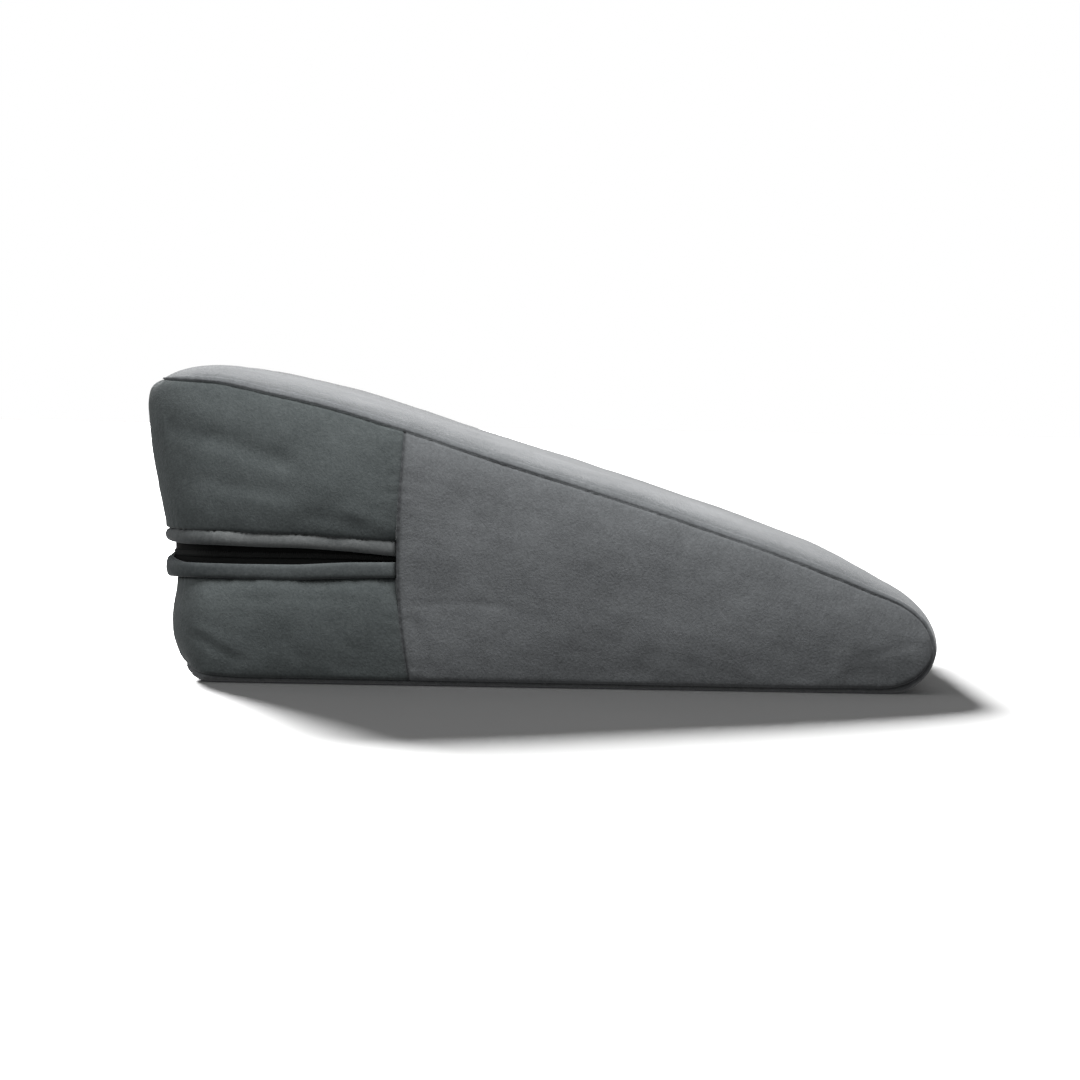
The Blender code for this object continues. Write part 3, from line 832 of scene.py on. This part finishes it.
def build_welt(name, lines, top, foot, squareness, stitched, seed):
    """One folded welt: a superellipse between its two edges that swells and leans a little.

    Its ends are drawn in by a quarter round where the panel seams hold them. Where it is
    stitched, its top edge dips between its stitches by a power of a cosine.
    """
    run = welt_run(lines)
    along = np.column_stack([run[:, 0], np.zeros(len(run)), np.zeros(len(run))])
    swell = waves(along, 0.06, 0.00022, seed)[:, None] + waves(along, 0.017, 0.00010, seed + 1)[:, None]
    lean = waves(along, 0.09, 0.00030, seed + 2)[:, None]
    turn = ring_turns(WELT_RING)
    middle = 0.5 * (top + foot)[:, None]
    half_height = 0.5 * (top - foot)[:, None] + 0.0002
    held = 1.0 - rounded(np.minimum(run, run[-1] - run), WELT_END_RUN)
    half_depth = (0.5 * (WELT_FRONT - WELT_BACK) + swell) * (1.0 - WELT_END_SHARE * held)
    depth, height = superellipse(turn, half_depth, half_height, squareness)
    depth = depth + WELT_BACK + half_depth
    if stitched:
        wander = 1.9 * np.sin(2.0 * math.pi * run / 0.031) + 1.1 * np.sin(2.0 * math.pi * run / 0.013)
        beat = 0.5 + 0.5 * np.cos(2.0 * math.pi * run / WELT_STITCH_PITCH + wander)
        uneven = 0.65 + 0.35 * np.sin(2.0 * math.pi * run / 0.023 + 0.6)
        upper_front = np.exp(-(((turn - math.radians(80.0)) / 0.55) ** 2))
        dip = WELT_STITCH_DIP * uneven * beat**2 * upper_front
        height = height - dip
        depth = depth - 1.2 * dip
    depth = np.maximum(depth, WELT_BACK)
    made = strip_object(name, lines, depth, middle + lean + height)
    shaded = smooth_step((CORNER_X + 0.030 - lines.line_x) / 0.05)
    nap_and_shade = waves(along, 0.05, 0.10, seed + 3) - 0.45 * shaded
    put_attribute(made.data, "nap_and_shade", np.repeat(nap_and_shade, WELT_RING))
    return made


def build_zip_tape():
    """The zip's woven tape: a thin flat strip whose two halves meet in a shallow slit."""
    lines = zip_lines(60, 30, 120)
    top, upper_foot, lower_top, foot = (edge[:, None] for edge in welt_edges(lines.line_x))
    middle = 0.5 * (upper_foot + lower_top)
    across = np.array([-1.0, -0.7, -0.4, -0.16, -0.05, 0.0, 0.05, 0.16, 0.4, 0.7, 1.0])
    half = np.where(across[None, :] > 0.0, top - middle, middle - foot)
    face_z = middle + across[None, :] * half
    face = TAPE_FACE - 0.0004 * np.exp(-((across[None, :] / 0.04) ** 2)) + np.zeros_like(face_z)
    back = np.full_like(face_z, TAPE_BACK)
    depth = np.column_stack([face[:, ::-1], back])
    z = np.column_stack([face_z[:, ::-1], face_z])
    return strip_object("zip_cloth", lines, depth[:, ::-1], z[:, ::-1])


def build_zip_coil():
    """The closed coil: a low ridge whose two halves carry teeth half a pitch apart.

    Its height is an arch over the ridge times 1 minus a dip between teeth.
    """
    side = int(COIL_STATIONS * 0.15)
    lines = zip_lines(side, int(COIL_STATIONS * 0.07), int(COIL_STATIONS * 0.55))
    run = welt_run(lines)
    _, upper_foot, lower_top, _ = (edge[:, None] for edge in welt_edges(lines.line_x))
    middle = 0.5 * (upper_foot + lower_top)
    room = 0.5 * (upper_foot - lower_top) - 0.0004
    half = np.minimum(COIL_HALF_HEIGHT, room)
    across = np.linspace(-1.0, 1.0, COIL_RING - 2)[None, :]
    shift = np.where(across > 0.0, 0.5, 0.0)
    beat = 0.5 + 0.5 * np.cos(2.0 * math.pi * (run / COIL_PITCH + shift))
    arch = np.sqrt(np.clip(1.0 - across**2, 0.0, 1.0)) * (1.0 - 0.35 * np.exp(-((across / 0.12) ** 2)))
    crest = TAPE_FACE + COIL_PROUD * arch * (0.55 + 0.45 * beat)
    z = middle + across * half
    back = np.full_like(z[:, :2], TAPE_FACE - 0.0006)
    depth = np.column_stack([crest, back])
    heights = np.column_stack([z, z[:, -1:], z[:, :1]])
    return strip_object("zip_coil", lines, depth, heights)


def node(tree, kind, place, **values):
    made = tree.nodes.new(kind)
    made.location = place
    for name, value in values.items():
        setattr(made, name, value)
    return made


def set_inputs(made, **values):
    for name, value in values.items():
        made.inputs[name.replace("_", " ")].default_value = value


def math_node(tree, place, operation, first, second):
    """A Math node whose two inputs are sockets or numbers."""
    made = node(tree, "ShaderNodeMath", place, operation=operation)
    for socket, value in zip(made.inputs, (first, second)):
        if isinstance(value, (int, float)):
            socket.default_value = value
        else:
            tree.links.new(value, socket)
    return made.outputs[0]


def noise(tree, place, vector, scale, detail, roughness):
    made = node(tree, "ShaderNodeTexNoise", place)
    made.inputs["Scale"].default_value = scale
    made.inputs["Detail"].default_value = detail
    made.inputs["Roughness"].default_value = roughness
    tree.links.new(vector, made.inputs["Vector"])
    return made.outputs["Fac"]


def new_group(name, inputs, outputs):
    group = bpy.data.node_groups.new(name, "ShaderNodeTree")
    for label, value in inputs:
        socket = group.interface.new_socket(label, in_out="INPUT", socket_type="NodeSocketFloat")
        socket.default_value = value
    for label in outputs:
        group.interface.new_socket(label, in_out="OUTPUT", socket_type="NodeSocketFloat")
    return group


def velour_pile_group():
    """Short brushed pile: Tone is near 0 with grain, mottling and clouds; Height is the grain's."""
    inputs = (("Grain", 1.0), ("Mottling", 1.0), ("Clouds", 1.0))
    group = new_group("Velour pile", inputs, ("Tone", "Height"))
    given = node(group, "NodeGroupInput", (-900, 0))
    put = node(group, "NodeGroupOutput", (700, 0))
    where = node(group, "ShaderNodeTexCoord", (-900, -300)).outputs["Object"]
    lay = node(group, "ShaderNodeMapping", (-700, -300))
    lay.inputs["Scale"].default_value = (1.0, 1.0, 0.85)
    group.links.new(where, lay.inputs["Vector"])
    fibres = noise(group, (-450, 200), lay.outputs["Vector"], 560.0, 3.0, 0.65)
    mottle = noise(group, (-450, -50), lay.outputs["Vector"], 210.0, 4.0, 0.55)
    cloud = noise(group, (-450, -300), where, 26.0, 3.0, 0.5)
    parts = []
    for k, (source, label) in enumerate(((fibres, "Grain"), (mottle, "Mottling"), (cloud, "Clouds"))):
        centred = math_node(group, (-200, 200 - 200 * k), "SUBTRACT", source, 0.5)
        parts.append(math_node(group, (0, 200 - 200 * k), "MULTIPLY", centred, given.outputs[label]))
    both = math_node(group, (200, 100), "ADD", parts[0], parts[1])
    tone = math_node(group, (400, 0), "ADD", both, parts[2])
    group.links.new(tone, put.inputs["Tone"])
    group.links.new(fibres, put.inputs["Height"])
    return group


def woven_tape_group():
    """Fine woven tape: two crossed waves along and across, as Tone and Height."""
    group = new_group("Woven tape", (("Threads", 1.0),), ("Tone", "Height"))
    put = node(group, "NodeGroupOutput", (700, 0))
    where = node(group, "ShaderNodeTexCoord", (-900, 0)).outputs["Object"]
    parts = []
    for k, direction in enumerate(("Z", "X")):
        wave = node(group, "ShaderNodeTexWave", (-500, 200 - 300 * k), bands_direction=direction)
        wave.inputs["Scale"].default_value = 420.0
        wave.inputs["Distortion"].default_value = 1.2
        wave.inputs["Detail"].default_value = 1.0
        group.links.new(where, wave.inputs["Vector"])
        parts.append(wave.outputs["Fac"])
    total = math_node(group, (0, 0), "MULTIPLY", parts[0], parts[1])
    group.links.new(total, put.inputs["Tone"])
    group.links.new(total, put.inputs["Height"])
    return group


def new_material(name):
    made = bpy.data.materials.new(name)
    made.use_nodes = True
    tree = made.node_tree
    return made, tree, tree.nodes["Principled BSDF"]


def attribute(tree, name, place):
    return node(tree, "ShaderNodeAttribute", place, attribute_name=name).outputs["Fac"]


def place_group(tree, group, place, **values):
    made = node(tree, "ShaderNodeGroup", place, node_tree=group)
    for name, value in values.items():
        made.inputs[name].default_value = value
    return made


def colour_mix(tree, place, share, first, second, blend="MIX"):
    """A Mix node of two colours, each a socket or a colour; share is a socket or a number."""
    made = node(tree, "ShaderNodeMix", place, data_type="RGBA", blend_type=blend)
    sockets = (made.inputs["Factor"], made.inputs[6], made.inputs[7])
    for socket, value in zip(sockets, (share, first, second)):
        if isinstance(value, float):
            socket.default_value = value
        elif isinstance(value, tuple):
            socket.default_value = (*value, 1.0)
        else:
            tree.links.new(value, socket)
    return made.outputs[2]


def ramp_share(tree, place, value, low, high):
    """Map Range from low..high to 0..1, clamped."""
    made = node(tree, "ShaderNodeMapRange", place)
    made.inputs["From Min"].default_value = low
    made.inputs["From Max"].default_value = high
    tree.links.new(value, made.inputs["Value"])
    return made.outputs["Result"]


def cloth_surface(tree, shader, tone, roughness, height, strength, distance):
    """Roughness from (tone, roughness) at a tone's low and high end, and a bump from a height."""
    (low, rough_low), (high, rough_high) = roughness
    rough = node(tree, "ShaderNodeMapRange", (-300, -550))
    set_inputs(rough, From_Min=low, From_Max=high, To_Min=rough_low, To_Max=rough_high)
    tree.links.new(tone, rough.inputs["Value"])
    tree.links.new(rough.outputs["Result"], shader.inputs["Roughness"])
    bump = node(tree, "ShaderNodeBump", (-100, -700))
    set_inputs(bump, Strength=strength, Distance=distance)
    tree.links.new(height, bump.inputs["Height"])
    tree.links.new(bump.outputs["Normal"], shader.inputs["Normal"])


def velour_material(pile):
    """Slate-grey velour: grain and clouds in its tone, darker rear panels, painted shade and highlight in
    the near side's patches, painted shade in the seams' grooves and dark stitches along the panel seams.
    """
    made, tree, shader = new_material("slate_velour")
    fabric = place_group(tree, pile, (-1200, 0), Grain=1.3, Mottling=0.8, Clouds=0.35)
    # Painted shade and highlight of the near side's patches, with the brushed pile's clouds, shift the tone
    nap_and_shade = attribute(tree, "nap_and_shade", (-1200, -250))
    nap_and_shade_tone = math_node(tree, (-1000, -250), "MULTIPLY", nap_and_shade, 0.75)
    tone = math_node(tree, (-1000, 0), "ADD", fabric.outputs["Tone"], nap_and_shade_tone)
    share = ramp_share(tree, (-800, 0), tone, -0.75, 0.75)
    front = colour_mix(tree, (-550, 100), share, (0.0480, 0.0505, 0.0525), (0.1040, 0.1090, 0.1135))
    behind = colour_mix(tree, (-550, -100), share, (0.0270, 0.0315, 0.0320), (0.0660, 0.0745, 0.0750))
    rear = attribute(tree, "rear_panel", (-800, -350))
    colour = colour_mix(tree, (-300, 0), rear, front, behind)
    # Painted shade in the grooves beside the seams between wall and band
    long_seam_shade = math_node(tree, (-350, -300), "MULTIPLY", attribute(tree, "seam", (-550, -400)), 0.12)
    where = node(tree, "ShaderNodeTexCoord", (-1200, -700)).outputs["Object"]
    stitch = node(tree, "ShaderNodeTexWave", (-1000, -700), bands_direction="Z")
    stitch.inputs["Scale"].default_value = STITCH_WAVE_SCALE
    stitch.inputs["Distortion"].default_value = 0.6
    tree.links.new(where, stitch.inputs["Vector"])
    # Painted shade along the panel seams' grooves, 0.45 all along and up to 0.8 at each stitch
    stitched = math_node(tree, (-800, -700), "MULTIPLY", stitch.outputs["Fac"], 0.35)
    stitched = math_node(tree, (-650, -700), "ADD", stitched, 0.45)
    panel_seam_shade = attribute(tree, "panel_seam_shade", (-800, -900))
    panel_seam_shade_and_stitches = math_node(tree, (-500, -700), "MULTIPLY", stitched, panel_seam_shade)
    seam_shade_share = math_node(tree, (-200, -300), "MAXIMUM", long_seam_shade, panel_seam_shade_and_stitches)
    # The seams' painted shade and the stitches mix the velour towards near black
    colour = colour_mix(tree, (-100, 0), seam_shade_share, colour, (0.012, 0.013, 0.014))
    tree.links.new(colour, shader.inputs["Base Color"])
    cloth_surface(tree, shader, tone, PILE_ROUGHNESS, fabric.outputs["Height"], 0.7, 0.0008)
    set_inputs(shader, Specular_IOR_Level=0.15, Sheen_Weight=0.20, Sheen_Roughness=0.40)
    set_inputs(shader, Sheen_Tint=(0.76, 0.77, 0.78, 1.0))
    return made


def welt_material(name, pile, dark, light):
    """The cover's velour on a fold, between a dark and a light colour given for each welt: a lit copy and a
    shaded copy of one velour.
    """
    made, tree, shader = new_material(name)
    fabric = place_group(tree, pile, (-900, 0), Grain=0.9, Mottling=0.8, Clouds=0.5)
    tone = math_node(tree, (-750, 0), "ADD", fabric.outputs["Tone"], attribute(tree, "nap_and_shade", (-900, -250)))
    share = ramp_share(tree, (-600, 0), tone, -0.6, 0.6)
    tree.links.new(colour_mix(tree, (-300, 0), share, dark, light), shader.inputs["Base Color"])
    height = fabric.outputs["Height"]
    cloth_surface(tree, shader, fabric.outputs["Tone"], PILE_ROUGHNESS, height, 0.6, 0.0006)
    set_inputs(shader, Specular_IOR_Level=0.15, Sheen_Weight=0.25, Sheen_Roughness=0.40)
    set_inputs(shader, Sheen_Tint=(0.74, 0.77, 0.79, 1.0))
    return made


def zip_material(name, weave, dark, light, roughness):
    """Black zip: woven threads in its tone and relief."""
    made, tree, shader = new_material(name)
    cloth = place_group(tree, weave, (-900, 0))
    tree.links.new(
        colour_mix(tree, (-300, 0), cloth.outputs["Tone"], dark, light), shader.inputs["Base Color"]
    )
    span = ((0.0, roughness), (1.0, roughness - 0.12))
    cloth_surface(tree, shader, cloth.outputs["Tone"], span, cloth.outputs["Height"], 0.5, 0.0002)
    set_inputs(shader, Specular_IOR_Level=0.12)
    return made


def floor_material():
    made, tree, shader = new_material("pale_floor")
    where = node(tree, "ShaderNodeTexCoord", (-900, 0)).outputs["Object"]
    grain = noise(tree, (-600, 0), where, 3.0, 3.0, 0.5)
    colour = colour_mix(tree, (-300, 0), grain, (0.60, 0.60, 0.60), (0.64, 0.64, 0.64))
    tree.links.new(colour, shader.inputs["Base Color"])
    shader.inputs["Roughness"].default_value = 0.7
    shader.inputs["Specular IOR Level"].default_value = 0.2
    return made


def finish_piece(piece, material, slot, *nodes):
    """Gives a piece its material, hangs it on the root body and hides the CAD parts it stands for."""
    piece.data.materials.append(material)
    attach(piece, "root")
    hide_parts(*nodes)


def build_floor():
    """A wide pale floor just under the wedge."""
    side = np.linspace(-30.0, 30.0, 3)
    x, y = np.meshgrid(side, side, indexing="ij")
    points = np.stack([x, y, np.full_like(x, -0.0002)], axis=-1)
    index = np.arange(9).reshape(3, 3)
    floor = mesh_object("floor", points.reshape(-1, 3), quads(index.T).tolist())
    floor.data.materials.append(floor_material())
    floor.visible_diffuse = False
    return floor


def build_lights(floor):
    """Soft studio light: a dim sky, suns behind, a soft box overhead and a weak one at the left.

    One low sun lights the floor alone and casts the shadow; the other lights leave the floor out.
    """
    world = bpy.data.worlds.new("studio")
    world.use_nodes = True
    tree = world.node_tree
    sky = tree.nodes["Background"]
    sky.inputs["Color"].default_value = (1.0, 1.0, 1.0, 1.0)
    way = node(tree, "ShaderNodeTexCoord", (-800, 0)).outputs["Generated"]
    parts = node(tree, "ShaderNodeSeparateXYZ", (-600, 0))
    tree.links.new(way, parts.inputs[0])
    strength = node(tree, "ShaderNodeMapRange", (-400, 0))
    set_inputs(strength, From_Min=-0.5, From_Max=0.1, To_Min=SKY_BELOW, To_Max=SKY_ABOVE)
    tree.links.new(parts.outputs["Z"], strength.inputs["Value"])
    tree.links.new(strength.outputs["Result"], sky.inputs["Strength"])
    seen = node(tree, "ShaderNodeBackground", (0, -200))
    seen.inputs["Color"].default_value = (1.0, 1.0, 1.0, 1.0)
    seen.inputs["Strength"].default_value = 1.0
    path = node(tree, "ShaderNodeLightPath", (-200, 300))
    both = node(tree, "ShaderNodeMixShader", (250, 0))
    tree.links.new(path.outputs["Is Camera Ray"], both.inputs[0])
    tree.links.new(sky.outputs[0], both.inputs[1])
    tree.links.new(seen.outputs[0], both.inputs[2])
    tree.links.new(both.outputs[0], tree.nodes["World Output"].inputs["Surface"])
    bpy.context.scene.world = world
    behind = add_sun("behind", SUN_FROM, SUN_STRENGTH, SUN_ANGLE)
    low_sun = add_sun("behind_low", LOW_SUN_FROM, LOW_SUN_STRENGTH, LOW_SUN_ANGLE)
    overhead = add_soft_box("overhead", OVERHEAD_AT, OVERHEAD_SIZE, OVERHEAD_POWER)
    left_fill = add_soft_box("left_fill", LEFT_FILL_AT, LEFT_FILL_SIZE, LEFT_FILL_POWER)
    light_only(low_sun, floor, "INCLUDE")
    for lamp in (behind, overhead, left_fill):
        light_only(lamp, floor, "EXCLUDE")


def aim(thing, place, target):
    thing.rotation_euler = (Vector(target) - Vector(place)).to_track_quat("-Z", "Y").to_euler()


def add_sun(name, place, strength, angle):
    light = bpy.data.lights.new(name, "SUN")
    light.energy = strength
    light.angle = angle
    lamp = bpy.data.objects.new(name, light)
    aim(lamp, place, (0.0, 0.0, 0.0))
    bpy.context.scene.collection.objects.link(lamp)
    return lamp


def add_soft_box(name, place, size, power):
    light = bpy.data.lights.new(name, "AREA")
    light.shape = "SQUARE"
    light.size = size
    light.energy = power
    lamp = bpy.data.objects.new(name, light)
    lamp.location = place
    aim(lamp, place, (0.0, -0.25, 0.1))
    bpy.context.scene.collection.objects.link(lamp)
    return lamp


def light_only(lamp, thing, state):
    """Keeps a lamp's light on one object alone (INCLUDE) or off that object (EXCLUDE)."""
    lit = bpy.data.collections.new("lit_by_" + lamp.name)
    lit.objects.link(thing)
    lamp.light_linking.receiver_collection = lit
    lit.collection_objects[0].light_linking.link_state = state


def build_camera():
    """The photograph's view: four metres off, a little above the base, rolled by a degree."""
    place = Vector((-0.0037, -4.0, 0.225))
    look = (Vector((-0.0037, 0.0, 0.106)) - place).to_track_quat("-Z", "Y").to_matrix()
    turned = look @ Matrix.Rotation(math.radians(1.0), 3, "Z")
    view = bpy.data.cameras.new("photo_view")
    view.lens = 159.1
    view.sensor_width = 36.0
    camera = bpy.data.objects.new("photo_view", view)
    camera.matrix_world = Matrix.Translation(place) @ turned.to_4x4()
    bpy.context.scene.collection.objects.link(camera)
    bpy.context.scene.camera = camera


def build():
    build_camera()
    build_lights(build_floor())
    bpy.context.scene.view_settings.view_transform = "Standard"
    pile = velour_pile_group()
    weave = woven_tape_group()

    cover = build_cover()
    finish_piece(cover, velour_material(pile), "velour", "cushion")

    lines = zip_lines(ZIP_SIDE_STATIONS, ZIP_CORNER_STATIONS, ZIP_REAR_STATIONS)
    upper_top, upper_foot, lower_top, lower_foot = welt_edges(lines.line_x)
    length = float(welt_run(lines)[-1, 0])
    corner = smooth_step((lines.turn - 0.6) / 0.9)
    upper_foot = upper_foot + UPPER_CORNER_RISE * corner
    lower_top = lower_top + LOWER_CORNER_RISE * corner
    squareness = mix(LOWER_SQUARENESS, UPPER_SQUARENESS, corner)[:, None]
    upper = build_welt("upper_welt_roll", lines, upper_top, upper_foot, UPPER_SQUARENESS, True, 71)
    lower = build_welt("lower_welt_roll", lines, lower_top, lower_foot, squareness, False, 81)
    # Lit and shaded copies of the welts' velour: the upper welt painted lighter as lit from above, the lower
    # welt painted darker as in shade
    upper_lit_cloth = welt_material("upper_welt_lit_velour", pile, (0.054, 0.058, 0.059), (0.120, 0.125, 0.125))
    lower_shaded_cloth = welt_material("lower_welt_shaded_velour", pile, (0.028, 0.032, 0.033), (0.066, 0.073, 0.074))
    finish_piece(upper, upper_lit_cloth, "welt_velour", "upper_welt")
    finish_piece(lower, lower_shaded_cloth, "welt_velour", "lower_welt")

    tape = build_zip_tape()
    coil = build_zip_coil()
    tape_cloth = zip_material("black_tape", weave, (0.0012, 0.0014, 0.0013), (0.0038, 0.0042, 0.0040), 0.90)
    coil_finish = zip_material("black_coil", weave, (0.0020, 0.0023, 0.0022), (0.0046, 0.0051, 0.0048), 0.65)
    finish_piece(tape, tape_cloth, "zip_black", "zip_tape")
    finish_piece(coil, coil_finish, "zip_black", "zip_tape")


build()
